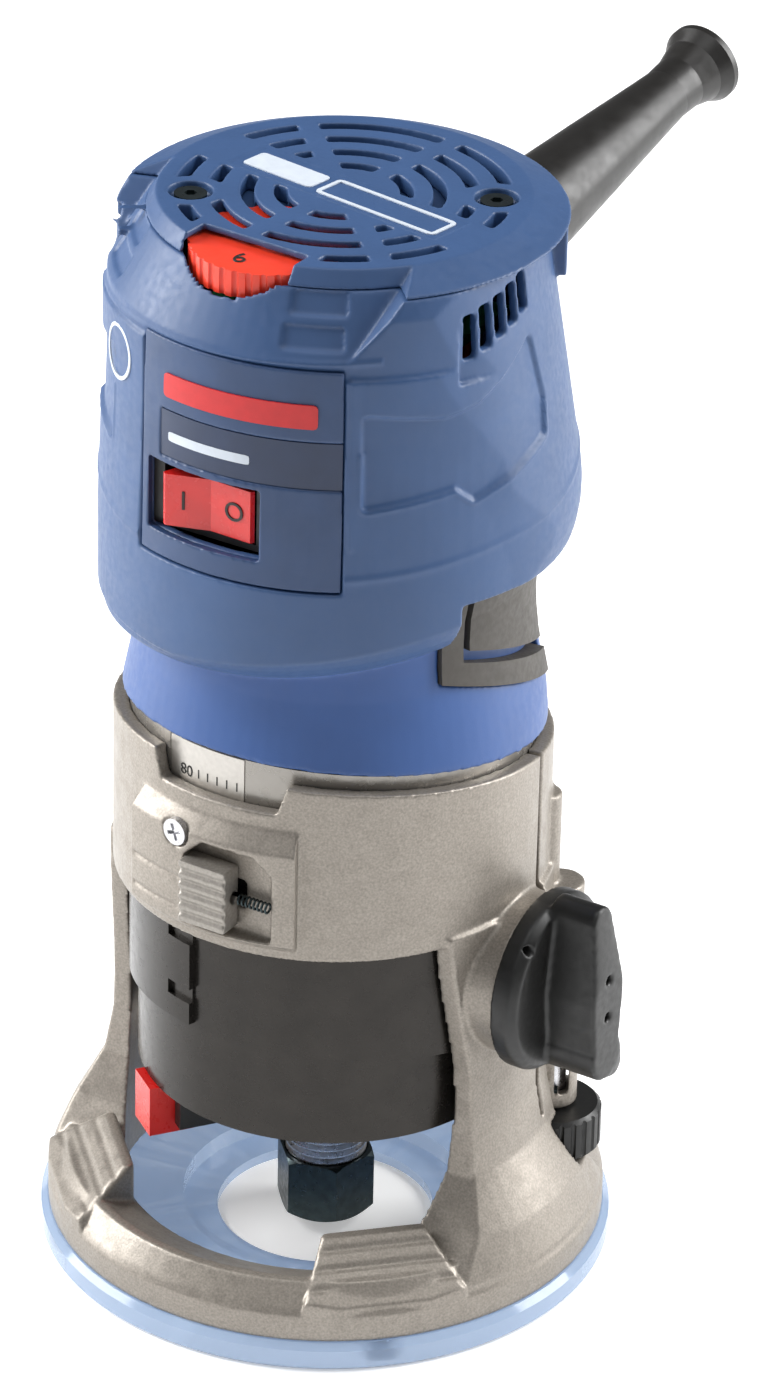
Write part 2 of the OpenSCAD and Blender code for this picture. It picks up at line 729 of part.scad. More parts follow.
// Sunk field with five vent slots on each side of the head
module side_vents(side) {
    for (i = [0:4])
        around(side * vent_angles[i]) translate([34, -1.45, 201 + i]) cube([14, 2.9, 8.4 - 0.3 * i]);
    intersection() {
        sector(side > 0 ? 61.5 : -90.5, side > 0 ? 90.5 : -61.5) translate([41.6, 190]) square([9, 30]);
        translate([-60, -60, 208.3]) rotate([-4, 0, 0]) translate([0, 0, -8.5]) cube([120, 120, 10.6]);
    }
}

// Two shallow recesses one above the other at each end of the front slope
module slope_marks(side) {
    a = side > 0 ? 17 : -58;
    for (i = [0, 1])
        intersection() {
            sector(a + i * side, a + 16 + i * side) translate([34, 204.9 + 5.3 * i]) square([9, 3.9]);
            front_cut(0.7);
        }
}

module housing() {
    difference() {
        union() {
            difference() {
                union() {
                    head_outside();
                    grip_outside();
                }
                head_inside();
            }
            inner_posts();
        }
        below(grip_low + 0.4, grip_tilt);
        // Seat for the cap
        translate([0, 0, seam_z - seat]) cylinder(r = 50, h = 10);
        // Recess for the front panel
        sector(-22, panel_to) polygon([[42.2, 158.5], [50, 158.5], [50, 202], [42.2, 202]]);
        switch_window();
        // Opening for the dial
        around(dial_angle) translate([dial_rho, 0, dial_top - dial_t - 0.8]) cylinder(r = dial_r + 0.8, h = 20);
        side_vents(1);
        side_vents(-1);
        for (s = [-1, 1]) slope_marks(s);
        // Seat for the cord boot
        at_boot() rotate_extrude() polygon([[0, -9], [11.2, -9], [11.2, -3.7], [8.65, -3.65], [8.65, 0.15],
            [12.2, 0.2], [12.2, 30], [0, 30]]);
        for (s = [-1, 1]) pad_field(s, 63, 118.5, 128.4, 153.4, 35.4);
        // Screws that join the halves, put in from the left
        for (p = screw_places()) translate([0, p[0], p[1]]) rotate([0, 90, 0]) {
            translate([0, 0, -30]) cylinder(r = 1.5, h = 37.2);
            translate([0, 0, -65]) cylinder(r = 3.2, h = 60);
        }
        for (a = cap_screw_angles) around(a) translate([cap_screw_rho, 0, 204]) cylinder(r = 1.65, h = 12);
        for (x = [-8.5, 8.5]) translate([x, 27, 168]) cylinder(r = 1.6, h = 12);
    }
}

module switch_window() {
    translate([rocker_x - 12.2, -50, rocker_z - 7]) cube([24.4, 20, 14]);
}

// Posts for the screws and a shelf for the cord clamp
module inner_posts() {
    for (p = screw_places()) translate([-7.5, p[0], p[1]]) rotate([0, 90, 0]) cylinder(r = 3.9, h = 15);
    for (a = cap_screw_angles) around(a) {
        translate([cap_screw_rho, 0, 203]) cylinder(r = 3.6, h = seam_z - 203);
        translate([cap_screw_rho, -1, 203]) cube([13, 2, seam_z - 203]);
    }
    translate([-12.5, 22.5, 172]) cube([25, 23.5, 4]);
}

// Height and depth of the screws that join the two halves
function screw_places() = [[37.2, 207], [42.2, 166], [31.2, 150]];

// Field on the side of the waist between two angles, whose lower edge falls towards the back
module pad_field(side, a0, a1, z0, z1, r_in) {
    intersection() {
        sector(side > 0 ? a0 : -a1, side > 0 ? a1 : -a0) translate([r_in, 100]) square([10, z1 - 100]);
        above(z0, pad_tilt);
    }
}

module half(side) {
    intersection() {
        housing();
        translate([side > 0 ? 0.04 : -80, -80, 90]) cube([79.96, 160, 140]);
    }
}

module housing_left() color([0.25, 0.37, 0.58]) half(-1);
module housing_right() color([0.25, 0.37, 0.58]) half(1);

module housing_screws() color([0.35, 0.35, 0.35]) {
    for (p = screw_places()) translate([0, p[0], p[1]]) rotate([0, 90, 0]) {
        translate([0, 0, -7.5]) cylinder(r = 2.9, h = 2.4);
        translate([0, 0, -5.2]) cylinder(r = 1.45, h = 12);
    }
}

module at_boot() {
    around(boot_angle) translate([boot_rho, 0, boot_z]) rotate([0, 90 - boot_rise, 0]) children();
}

// Four rings of vents, broken by two straight bars, a plain band, the screws and the dial
module cap_slots() {
    difference() {
        for (i = [0:3]) ring(12.6 + 6 * i, 10.1 + 6 * i, top_z - 5, 10);
        for (b = [[-9, 1.9], [45, 1.9], [81, 6]])
            around(b[0]) translate([-40, -b[1], top_z - 6]) cube([80, 2 * b[1], 12]);
        for (a = cap_screw_angles) around(a) translate([cap_screw_rho, 0, top_z - 6]) cylinder(r = 6.4, h = 12);
        around(dial_angle) translate([24.6, -13.5, top_z - 6]) cube([30, 27, 12]);
    }
}

module top_cap() color([0.22, 0.33, 0.53]) {
    difference() {
        rotate_extrude() polygon([[0, seam_z], [40.9, seam_z], [41, seam_z + 0.4], [top_d / 2, top_z], [0, top_z]]);
        front_cut();
        cap_slots();
        // Slot over the dial
        around(dial_angle) translate([26.6, -11.5, top_z - 10]) cube([30, 23, 20]);
        around(dial_angle) translate([dial_rho, 0, top_z - 10]) cylinder(r = dial_r + 0.8, h = 8.6);
        for (a = cap_screw_angles) around(a) translate([cap_screw_rho, 0, top_z - 5]) {
            cylinder(r = 1.7, h = 10);
            translate([0, 0, 3]) cylinder(r = 4.1, h = 10);
        }
    }
}

module cap_screws() color([0.3, 0.3, 0.3]) {
    for (a = cap_screw_angles) around(a) translate([cap_screw_rho, 0, 0]) difference() {
        union() {
            translate([0, 0, top_z - 12]) cylinder(r = 1.6, h = 11.2);
            translate([0, 0, top_z - 1.95]) cylinder(r = 3, h = 1.4);
        }
        translate([0, 0, top_z - 1.3]) cylinder(r = 1.2, h = 3, $fn = 6);
    }
}

module front_panel() color([0.14, 0.20, 0.28]) {
    difference() {
        sector(-21.7, panel_to - 0.3) polygon([[42.3, 158.8], [43.9, 158.8], [43.1, 201.7], [42.3, 201.7]]);
        switch_window();
        sector(-15.2, panel_to + 1) translate([42.8, 178.8]) square([4, 9.4]);
    }
}

module nameplate() color([0.10, 0.15, 0.22]) {
    sector(-15, panel_to - 0.4) translate([42.85, 179]) square([0.4, 9]);
}

module pad(side) {
    intersection() {
        pad_field(side, 73, 115.5, 135.8, 149.6, 35.45);
        grip_skin(0.9);
    }
}

module pad_rim(side) {
    intersection() {
        difference() {
            pad_field(side, 63.2, 118.3, 128.7, 153.1, 35.45);
            pad_field(side, 70.6, 121, 133.4, 151.4, 30);
        }
        grip_skin(1);
    }
}

// Skin of the waist, standing proud by a small amount
module grip_skin(proud) {
    rotate_extrude() polygon([[34, 116], [40 + proud, 116], [38.6 + proud, 123.5], [37.7 + proud, 128],
        [36.9 + proud, 132.5], [36.4 + proud, 137], [36.2 + proud, 141], [36.4 + proud, 146],
        [37.5 + proud, 151], [38 + proud, 153], [34, 153]]);
}

module grip_pad_left() color([0.25, 0.24, 0.22]) pad(-1);
module grip_pad_right() color([0.25, 0.24, 0.22]) pad(1);
module pad_rim_left() color([0.25, 0.24, 0.22]) pad_rim(-1);
module pad_rim_right() color([0.25, 0.24, 0.22]) pad_rim(1);

// Tapered rubber sleeve with a bell mouth that guides the supply cord
module cord_boot() color([0.12, 0.11, 0.10]) {
    at_boot() difference() {
        rotate_extrude() polygon([[0, -6.4], [11, -6.4], [11, -3.9], [8.5, -3.8], [8.5, 0.2], [12, 0.4], [12, 4.6],
            [9.8, 6], [9.2, 14], [7.6, 32], [5.9, 50], [5.3, 57], [5.5, 62], [6.6, 66.5], [8, 69.2], [8, boot_len],
            [0, boot_len]]);
        translate([0, 0, -8]) cylinder(r = cord_r, h = boot_len + 10);
    }
}

module cord_clamp() color([0.15, 0.15, 0.15]) {
    translate([-12, 24, 176.05]) difference() {
        cube([24, 6, 5]);
        for (x = [3.5, 20.5]) translate([x, 3, -1]) cylinder(r = 1.6, h = 8);
    }
}

module cord_clamp_screws() color([0.5, 0.5, 0.5]) {
    for (x = [-8.5, 8.5]) translate([x, 27, 0]) {
        translate([0, 0, 181.1]) cylinder(r = 2.8, h = 1.8);
        translate([0, 0, 170]) cylinder(r = 1.55, h = 11.4);
    }
}

// ---------- Switch and electronics ----------

module switch_body() color([0.1, 0.1, 0.1]) {
    translate([rocker_x, 0, rocker_z]) difference() {
        union() {
            translate([-11, -38.6, -6.6]) cube([22, 22, 13.2]);
            translate([-12.1, -39.4, -6.9]) cube([24.2, 1.6, 13.8]);
        }
        translate([-9.8, -40, -5.6]) cube([19.6, 10, 11.2]);
        translate([0, rocker_pivot_y, -8]) cylinder(r = 1 + running, h = 16);
    }
}

// Rocker with its off side pressed in
module switch_rocker() color([0.85, 0.13, 0.1]) {
    translate([rocker_x, rocker_pivot_y, rocker_z]) rotate([0, 0, 8]) translate([0, 0, -5.1])
        linear_extrude(10.2) polygon([[-9, -4.4], [-8.4, -5], [0, -3.6], [8.4, -5], [9, -4.4], [6.4, 0.5], [2, 3.2],
            [-2, 3.2], [-6.4, 0.5]]);
    // Pins that it tips on
    translate([rocker_x, rocker_pivot_y, rocker_z - 6.3]) cylinder(r = 1, h = 12.6);
}

module speed_control() color([0.15, 0.3, 0.5]) {
    around(dial_angle) translate([dial_rho, 0, 0]) {
        translate([-7, -7, 193.65]) cube([14, 14, 9.3]);
        translate([0, 0, 202.9]) cylinder(r = 3, h = 4);
    }
}

module speed_dial() color([0.92, 0.28, 0.18]) {
    around(dial_angle) translate([dial_rho, 0, dial_top - dial_t]) {
        difference() {
            union() {
                cylinder(r = dial_r, h = dial_t);
                translate([0, 0, -4.6]) cylinder(r = 4.6, h = 5);
            }
            translate([0, 0, -5]) cylinder(r = 3 + running, h = 4);
            for (a = [0:10:359]) rotate([0, 0, a]) translate([dial_r + 0.35, 0, -1]) cylinder(r = 0.75, h = dial_t + 2);
        }
    }
}

module control_board() color([0.1, 0.4, 0.2]) {
    translate([-24, -30, 192]) cube([48, 49.5, 1.6]);
}

module capacitor() color([0.85, 0.8, 0.3]) {
    translate([8, 6, 176.95]) cube([12, 10, 15]);
}

// Leads between switch, brush holders and board
module lead_wires() color([0.7, 0.1, 0.1]) {
    for (s = [-1, 1]) {
        translate([s * 6, -20, rocker_z + 6.65]) cylinder(r = 1.1, h = 14.8);
        translate([s * 22.6, 6.2, 118]) cylinder(r = 1.1, h = 73.95);
    }
}

base_casting();
sub_base();
sub_base_screws();
clamp_pivot();
clamp_pin();
latch_screw();
latch_spring();
adjuster_clip();
depth_carriage();
fine_adjust_screw();
fine_adjust_knob();
clamp_knob();
clamp_cam();
release_latch();
motor_housing();
depth_scale();
bearing_nose();
nose_screws();
lower_bearing();
air_baffle();
stator_core();
stator_windings();
brush_holders();
carbon_brushes();
brush_springs();
upper_bearing();
bearing_bridge();
housing_left();
housing_right();
housing_screws();
top_cap();
cap_screws();
front_panel();
nameplate();
grip_pad_left();
grip_pad_right();
pad_rim_left();
pad_rim_right();
cord_boot();
cord_clamp();
cord_clamp_screws();
switch_body();
switch_rocker();
speed_control();
speed_dial();
control_board();
capacitor();
lead_wires();
spindle_lock();
lock_spring();
spindle();
armature_core();
armature_windings();
commutator();
cooling_fan();
collet();
collet_nut();
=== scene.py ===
"""Trim router: looks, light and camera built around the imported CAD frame."""
import json
import math

import bmesh
import bpy
import numpy as np
from mathutils import Matrix, Vector


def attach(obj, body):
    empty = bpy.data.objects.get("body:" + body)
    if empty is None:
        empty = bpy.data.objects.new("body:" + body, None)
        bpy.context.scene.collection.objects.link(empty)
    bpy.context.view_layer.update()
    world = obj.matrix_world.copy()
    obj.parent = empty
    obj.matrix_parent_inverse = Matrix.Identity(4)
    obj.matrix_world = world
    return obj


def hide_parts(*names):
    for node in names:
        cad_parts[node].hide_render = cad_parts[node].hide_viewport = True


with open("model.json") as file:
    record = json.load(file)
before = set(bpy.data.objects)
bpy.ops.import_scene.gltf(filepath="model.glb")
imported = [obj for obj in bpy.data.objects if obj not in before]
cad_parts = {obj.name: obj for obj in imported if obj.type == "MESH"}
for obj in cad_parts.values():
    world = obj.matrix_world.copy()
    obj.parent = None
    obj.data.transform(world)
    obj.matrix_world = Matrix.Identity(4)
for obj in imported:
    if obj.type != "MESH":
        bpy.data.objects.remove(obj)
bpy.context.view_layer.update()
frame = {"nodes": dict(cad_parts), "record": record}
NODES = frame["nodes"]
MM = 0.001


# ---------- Camera, light and floor ----------

# The camera stands to the right of the front: metres back and up, then pitch, yaw and roll in radians
CAMERA_TURN = math.radians(32)
CAMERA_BACK = 1.05159
CAMERA_UP = 0.68304
CAMERA_PITCH = -0.4959
CAMERA_YAW = 0.0090
CAMERA_ROLL = 0.0229
CAMERA_LENS = 164.64

# Soft boxes: name, degrees to the right of the front, elevation, distance, width and height in metres, watts
LIGHTS = (
    ("key_left", -70, 26, 1.1, (0.5, 1.0), 21),
    ("key_right", 132, 26, 1.1, (0.4, 1.0), 17),
    ("fill", 20, 40, 2.2, (0.8, 0.8), 2),
    ("top", 60, 80, 1.4, (0.9, 0.9), 5),
)
LIGHT_AIM = Vector((0, 0, 0.12))
SKY_COLOUR = (0.95, 0.97, 1, 1)
SKY_STRENGTH = 0.2
FLOOR_SIZE = 12
FLOOR_COLOUR = (0.9, 0.9, 0.9, 1)
FLOOR_GLOW = 0.35


def make_camera():
    """The reference's viewing angle, from the right and above."""
    forward = Vector((math.sin(CAMERA_YAW) * math.cos(CAMERA_PITCH),
                      math.cos(CAMERA_YAW) * math.cos(CAMERA_PITCH), math.sin(CAMERA_PITCH)))
    right = Vector((math.cos(CAMERA_YAW), -math.sin(CAMERA_YAW), 0))
    up = right.cross(forward)
    c, s = math.cos(CAMERA_ROLL), math.sin(CAMERA_ROLL)
    turn = Matrix.Rotation(CAMERA_TURN, 3, "Z")
    axes = Matrix((c * right + s * up, c * up - s * right, -forward)).transposed()
    place = turn @ Vector((0, -CAMERA_BACK, CAMERA_UP))
    data = bpy.data.cameras.new("camera")
    data.lens = CAMERA_LENS
    data.sensor_width = 36
    data.clip_end = 50
    cam = bpy.data.objects.new("camera", data)
    cam.matrix_world = Matrix.LocRotScale(place, turn @ axes, None)
    bpy.context.scene.collection.objects.link(cam)
    bpy.context.scene.camera = cam


def area_light(name, turn, elevation, distance, size, power):
    """A soft box that faces the object from turn degrees to the right of the front."""
    a, e = math.radians(turn), math.radians(elevation)
    data = bpy.data.lights.new(name, "AREA")
    data.shape = "RECTANGLE"
    data.size, data.size_y = size
    data.energy = power
    light = bpy.data.objects.new(name, data)
    away = Vector((math.sin(a) * math.cos(e), -math.cos(a) * math.cos(e), math.sin(e)))
    light.location = away * distance + LIGHT_AIM
    light.rotation_euler = away.to_track_quat("Z", "Y").to_euler()
    bpy.context.scene.collection.objects.link(light)


def make_stage():
    """Lights, a dim sky and a white floor."""
    for light in LIGHTS:
        area_light(*light)
    world = bpy.data.worlds.new("studio")
    world.use_nodes = True
    sky = world.node_tree.nodes["Background"].inputs
    sky["Color"].default_value = SKY_COLOUR
    sky["Strength"].default_value = SKY_STRENGTH
    bpy.context.scene.world = world
    bpy.context.scene.view_settings.view_transform = "Standard"
    paint = bpy.data.materials.new("floor_white")
    paint.use_nodes = True
    shader = paint.node_tree.nodes["Principled BSDF"].inputs
    shader["Base Color"].default_value = FLOOR_COLOUR
    shader["Roughness"].default_value = 0.6
    shader["Emission Color"].default_value = (1, 1, 1, 1)
    shader["Emission Strength"].default_value = FLOOR_GLOW
    bpy.ops.mesh.primitive_plane_add(size=FLOOR_SIZE)
    floor = bpy.context.object
    floor.name = "floor"
    floor.data.materials.append(paint)


# ---------- Materials ----------


def srgb(r, g, b):
    """Linear colour from the 0 to 255 values of a display."""
    return tuple(((v / 255 + 0.055) / 1.055) ** 2.4 if v > 10 else v / 255 / 12.92 for v in (r, g, b))


class Finish:
    """A material under construction: noise in object space drives colour, roughness and bump."""

    def __init__(self, name, colour, roughness, metallic=0.0, coat=0.0, **sockets):
        self.name = name
        self.mat = bpy.data.materials.new(name)
        self.mat.use_nodes = True
        self.tree = self.mat.node_tree
        self.shader = self.tree.nodes["Principled BSDF"]
        self.colour = colour
        self.shader.inputs["Base Color"].default_value = (*colour, 1)
        self.shader.inputs["Roughness"].default_value = roughness
        self.shader.inputs["Metallic"].default_value = metallic
        if coat:
            self.shader.inputs["Coat Weight"].default_value = coat
            self.shader.inputs["Coat Roughness"].default_value = 0.12
        for socket, value in sockets.items():
            self.shader.inputs[socket.replace("_", " ")].default_value = value
        self.place = self.add("ShaderNodeTexCoord").outputs["Object"]
        self.normal = None

    def add(self, kind, **settings):
        """A new node with its settings."""
        node = self.tree.nodes.new(kind)
        for key, value in settings.items():
            setattr(node, key, value)
        return node

    def link(self, out, into):
        self.tree.links.new(out, into)

    def noise(self, size_mm, detail=2.0, stretch=(1, 1, 1)):
        """Noise whose spots are about size_mm wide."""
        mapping = self.add("ShaderNodeMapping")
        mapping.inputs["Scale"].default_value = stretch
        self.link(self.place, mapping.inputs["Vector"])
        tex = self.add("ShaderNodeTexNoise")
        tex.inputs["Scale"].default_value = 1000 / size_mm
        tex.inputs["Detail"].default_value = detail
        self.link(mapping.outputs["Vector"], tex.inputs["Vector"])
        return tex.outputs["Fac"]

    def ramp(self, fac, stops):
        """Colour ramp with a stop of (place, colour) for each colour."""
        node = self.add("ShaderNodeValToRGB")
        while len(node.color_ramp.elements) < len(stops):
            node.color_ramp.elements.new(0.5)
        for element, (place, colour) in zip(node.color_ramp.elements, stops):
            element.position = place
            element.color = (*colour, 1)
        self.link(fac, node.inputs["Fac"])
        return node.outputs["Color"]

    def mottle(self, size_mm, amount, detail=3.0, low=0.3, high=0.7):
        """Base colour that wanders lighter and darker by amount."""
        dark = tuple(c * (1 - amount) for c in self.colour)
        light = tuple(min(1, c * (1 + amount)) for c in self.colour)
        colour = self.ramp(self.noise(size_mm, detail), [(low, dark), (high, light)])
        self.link(colour, self.shader.inputs["Base Color"])
        return self

    def painted_highlight_above(self, height, colour):
        """A painted highlight: a lighter colour above a height of the object, in metres."""
        split = self.add("ShaderNodeSeparateXYZ")
        self.link(self.place, split.inputs["Vector"])
        over = self.add("ShaderNodeMath", operation="GREATER_THAN")
        over.inputs[1].default_value = height
        self.link(split.outputs["Z"], over.inputs[0])
        mix = self.add("ShaderNodeMix", data_type="RGBA")
        self.link(over.outputs[0], mix.inputs[0])
        self.link(self.shader.inputs["Base Color"].links[0].from_socket, mix.inputs[6])
        mix.inputs[7].default_value = (*colour, 1)
        self.link(mix.outputs[2], self.shader.inputs["Base Color"])
        return self

    def gloss(self, size_mm, low, high, detail=2.0):
        """Roughness that wanders between low and high."""
        node = self.add("ShaderNodeMapRange")
        node.inputs["From Min"].default_value = 0.3
        node.inputs["From Max"].default_value = 0.7
        node.inputs["To Min"].default_value = low
        node.inputs["To Max"].default_value = high
        self.link(self.noise(size_mm, detail), node.inputs["Value"])
        self.link(node.outputs["Result"], self.shader.inputs["Roughness"])
        return self

    def bump(self, size_mm, depth_mm, strength=1.0, detail=2.0, stretch=(1, 1, 1)):
        """Fine relief, added over any relief already there."""
        node = self.add("ShaderNodeBump")
        node.inputs["Distance"].default_value = depth_mm * MM
        node.inputs["Strength"].default_value = strength
        self.link(self.noise(size_mm, detail, stretch), node.inputs["Height"])
        if self.normal is not None:
            self.link(self.normal, node.inputs["Normal"])
        self.normal = node.outputs["Normal"]
        self.link(self.normal, self.shader.inputs["Normal"])
        return self


def make_materials():
    """Every material by its name, which is also the name of the record's slot where there is one."""
    finishes = (
        Finish("cast_alloy", srgb(146, 139, 130), 0.42, 0.45)
        .mottle(0.45, 0.2, 4).bump(0.5, 0.035, 0.7, 3).gloss(3, 0.34, 0.5),
        Finish("clear_plastic", srgb(176, 196, 222), 0.08, IOR=1.4, Transmission_Weight=0.62)
        .gloss(8, 0.05, 0.14),
        Finish("steel", (0.62, 0.62, 0.64), 0.3, 1.0)
        .mottle(2, 0.08).gloss(1.5, 0.22, 0.36).bump(0.8, 0.01, 0.4),
        Finish("dark_steel", srgb(58, 68, 70), 0.34, 0.9)
        .mottle(2, 0.2).gloss(1.2, 0.26, 0.42).bump(0.7, 0.012, 0.5),
        # The motor housing is bare aluminium: its dark colour is a painted dark reflection, and the lighter
        # band above 100 mm is a painted highlight.
        Finish("motor_black", srgb(44, 41, 38), 0.26, 0.6)
        .mottle(6, 0.12).gloss(2, 0.2, 0.3).bump(0.5, 0.006, 0.5, 2, (1, 1, 6))
        .painted_highlight_above(0.1, srgb(150, 146, 140)),
        Finish("scale_metal", srgb(190, 186, 180), 0.35, 0.8).mottle(1, 0.06).gloss(2, 0.3, 0.42),
        Finish("head_blue", srgb(52, 80, 122), 0.44)
        .mottle(12, 0.05).bump(0.32, 0.02, 0.55, 2).gloss(1.5, 0.42, 0.54),
        Finish("grip_blue", srgb(50, 84, 142), 0.42)
        .mottle(12, 0.05).bump(0.32, 0.02, 0.55, 2).gloss(1.5, 0.4, 0.5),
        # The front panel is the head's blue plastic; its darker blue is painted shade.
        Finish("panel_blue", srgb(42, 66, 104), 0.42)
        .mottle(8, 0.08).bump(0.3, 0.015, 0.5).gloss(1.5, 0.38, 0.5),
        Finish("plate_black", srgb(30, 46, 76), 0.36).mottle(6, 0.1).gloss(2, 0.3, 0.4),
        Finish("rubber", srgb(66, 62, 57), 0.56)
        .mottle(5, 0.08).bump(0.4, 0.03, 0.6, 3).gloss(1.2, 0.52, 0.68),
        Finish("boot_black", srgb(24, 22, 20), 0.36)
        .mottle(8, 0.12).bump(0.7, 0.02, 0.35).gloss(3, 0.34, 0.46),
        Finish("black_plastic", srgb(20, 20, 19), 0.38)
        .mottle(6, 0.1).bump(0.35, 0.02, 0.5).gloss(1.5, 0.36, 0.5),
        Finish("rocker_red", srgb(214, 30, 26), 0.25, coat=0.3).mottle(5, 0.05).gloss(2, 0.2, 0.3),
        Finish("dial_orange", srgb(232, 62, 38), 0.36)
        .mottle(4, 0.06).bump(0.4, 0.01, 0.4).gloss(2, 0.3, 0.42),
        Finish("lock_red", srgb(206, 30, 26), 0.3, coat=0.2).mottle(4, 0.06).gloss(2, 0.24, 0.36),
        Finish("latch_grey", srgb(150, 145, 138), 0.42, 0.6).mottle(0.6, 0.14).bump(0.5, 0.03, 0.6),
        Finish("lamination", (0.3, 0.3, 0.32), 0.4, 0.9)
        .mottle(3, 0.1).bump(0.5, 0.05, 0.8, 0, (0.05, 0.05, 1)),
        Finish("copper", (0.62, 0.24, 0.1), 0.35, 0.9).mottle(1.2, 0.2).bump(0.6, 0.06, 0.8),
        Finish("brass", (0.72, 0.52, 0.2), 0.32, 1.0).mottle(2, 0.1).bump(0.8, 0.01, 0.4),
        Finish("bronze", (0.55, 0.38, 0.17), 0.38, 1.0).mottle(2, 0.1).bump(0.8, 0.01, 0.4),
        Finish("carbon", (0.035, 0.035, 0.037), 0.6).mottle(0.6, 0.2).bump(0.4, 0.02, 0.5),
        Finish("board_green", (0.02, 0.16, 0.06), 0.35).mottle(2, 0.2).bump(1.5, 0.02, 0.4),
        Finish("capacitor_yellow", (0.68, 0.5, 0.08), 0.3).mottle(3, 0.08).bump(2, 0.05, 0.4),
        Finish("wire_red", (0.42, 0.03, 0.02), 0.35).mottle(3, 0.1).bump(1, 0.01, 0.4),
        Finish("white_print", srgb(196, 204, 214), 0.5).mottle(2, 0.04).bump(0.4, 0.01, 0.4),
        Finish("red_print", srgb(196, 34, 36), 0.4).mottle(2, 0.05).bump(0.4, 0.01, 0.4),
        Finish("dark_print", srgb(28, 26, 24), 0.5).mottle(2, 0.1).bump(0.4, 0.01, 0.4),
    )
    return {finish.name: finish.mat for finish in finishes}


def dress_cad():
    """Gives every carried-over CAD node its procedural material."""
    slots = {entry["node"]: entry["material_slot"] for entry in frame["record"]["subparts"]}
    for name, obj in NODES.items():
        obj.data.materials.clear()
        obj.data.materials.append(MATERIALS[slots[name]])


# ---------- Detailed pieces ----------

BODY_OF = {node: body for body, nodes in frame["record"]["behaviour"]["bodies"].items() for node in nodes}


def new_object(name, mesh, material, body, smooth=True):
    """A visible piece that rides on a body."""
    mesh.name = name
    mesh.materials.clear()
    mesh.materials.append(material)
    if smooth:
        mesh.polygons.foreach_set("use_smooth", [True] * len(mesh.polygons))
    obj = bpy.data.objects.new(name, mesh)
    bpy.context.scene.collection.objects.link(obj)
    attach(obj, body)
    return obj


def points_of(mesh):
    """The mesh's points, one row each."""
    co = np.empty(len(mesh.vertices) * 3)
    mesh.vertices.foreach_get("co", co)
    return co.reshape(-1, 3)


def softened(nodes, slot, voxel_mm, rounds, relief=None, second=None, extra=None):
    """A copy of CAD nodes with rounded edges, optionally with relief pressed into its outside.

    second is a material and a test on positions in millimetres that says which faces take it.
    extra adds solids of its own to the joined nodes before they are rounded.
    """
    both = bmesh.new()
    for node in nodes:
        both.from_mesh(NODES[node].data)
    if extra:
        extra(both)
    mesh = bpy.data.meshes.new("work")
    both.to_mesh(mesh)
    both.free()
    work = bpy.data.objects.new("work", mesh)
    bpy.context.scene.collection.objects.link(work)
    mod = work.modifiers.new("remesh", "REMESH")
    mod.mode = "VOXEL"
    mod.voxel_size = voxel_mm * MM
    mod = work.modifiers.new("smooth", "SMOOTH")
    mod.factor = 0.5
    mod.iterations = rounds
    graph = bpy.context.evaluated_depsgraph_get()
    mesh = bpy.data.meshes.new_from_object(work.evaluated_get(graph))
    bpy.data.objects.remove(work)
    if relief:
        normals = np.empty(len(mesh.vertices) * 3)
        mesh.vertices.foreach_get("normal", normals)
        co = relief(points_of(mesh) * 1000, normals.reshape(-1, 3)) * MM
        mesh.vertices.foreach_set("co", co.ravel())
        mesh.update()
    obj = new_object(nodes[0] + "_detailed", mesh, MATERIALS[slot], BODY_OF[nodes[0]])
    if second:
        mesh.materials.append(second[0])
        centres = np.empty(len(mesh.polygons) * 3)
        mesh.polygons.foreach_get("center", centres)
        takes_second = second[1](centres.reshape(-1, 3) * 1000)
        mesh.polygons.foreach_set("material_index", takes_second.astype(np.int32))
    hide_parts(*nodes)


def smoothstep(x):
    """0 below 0, 1 above 1, smooth between."""
    x = np.clip(x, 0, 1)
    return x * x * (3 - 2 * x)


def outline_distance(x, y, outline, radius=0.0):
    """Signed distance to a closed outline, negative inside, with corners rounded by radius."""
    inside = np.zeros(x.shape, bool)
    nearest = np.full(x.shape, 1e9)
    for (x0, y0), (x1, y1) in zip(outline, outline[1:] + outline[:1]):
        dx, dy = x1 - x0, y1 - y0
        t = np.clip(((x - x0) * dx + (y - y0) * dy) / (dx * dx + dy * dy), 0, 1)
        nearest = np.minimum(nearest, np.hypot(x - x0 - t * dx, y - y0 - t * dy))
        crosses = ((y0 > y) != (y1 > y)) & (x < (y - y0) * dx / (dy if dy else 1e-9) + x0)
        inside ^= crosses
    return np.where(inside, -nearest, nearest) - radius


def polar(co):
    """Angle from the front in degrees, positive to the right, and radius."""
    return np.degrees(np.arctan2(co[:, 0], -co[:, 1])), np.hypot(co[:, 0], co[:, 1])


# Front slope of the head: where its two slanted ends are and how far they lean
SLOPE_ENDS = ((42.5, 1), (-71.5, -1))          # degrees from the front, side
SLOPE_FOOT = (37.85, 6.6, 203.2)
SLOPE_LEAN = 42.5
SLOPE_WALL = (6.7, 2.2, 14)                    # depth, thickness and length of the wall behind an end


def slope_ends(shape):
    """Walls that close the two ends of the front slope from inside."""
    depth, thick, length = SLOPE_WALL
    out, along, height = SLOPE_FOOT
    for angle, side in SLOPE_ENDS:
        place = (Matrix.Rotation(math.radians(angle - 90), 4, "Z")
                 @ Matrix.Translation(Vector((out, -along * side, height)) * MM)
                 @ Matrix.Rotation(math.radians(-SLOPE_LEAN * side), 4, "X")
                 @ Matrix.Translation(Vector((0, thick / 2 * side, length / 2 + 0.3)) * MM)
                 @ Matrix.Diagonal((depth * MM, thick * MM, length * MM, 1)))
        bmesh.ops.create_cube(shape, size=1, matrix=place)


HEAD_RADIUS = 43.5                             # mean radius of the head's wall
ARC = math.radians(HEAD_RADIUS)                # millimetres of that wall to a degree

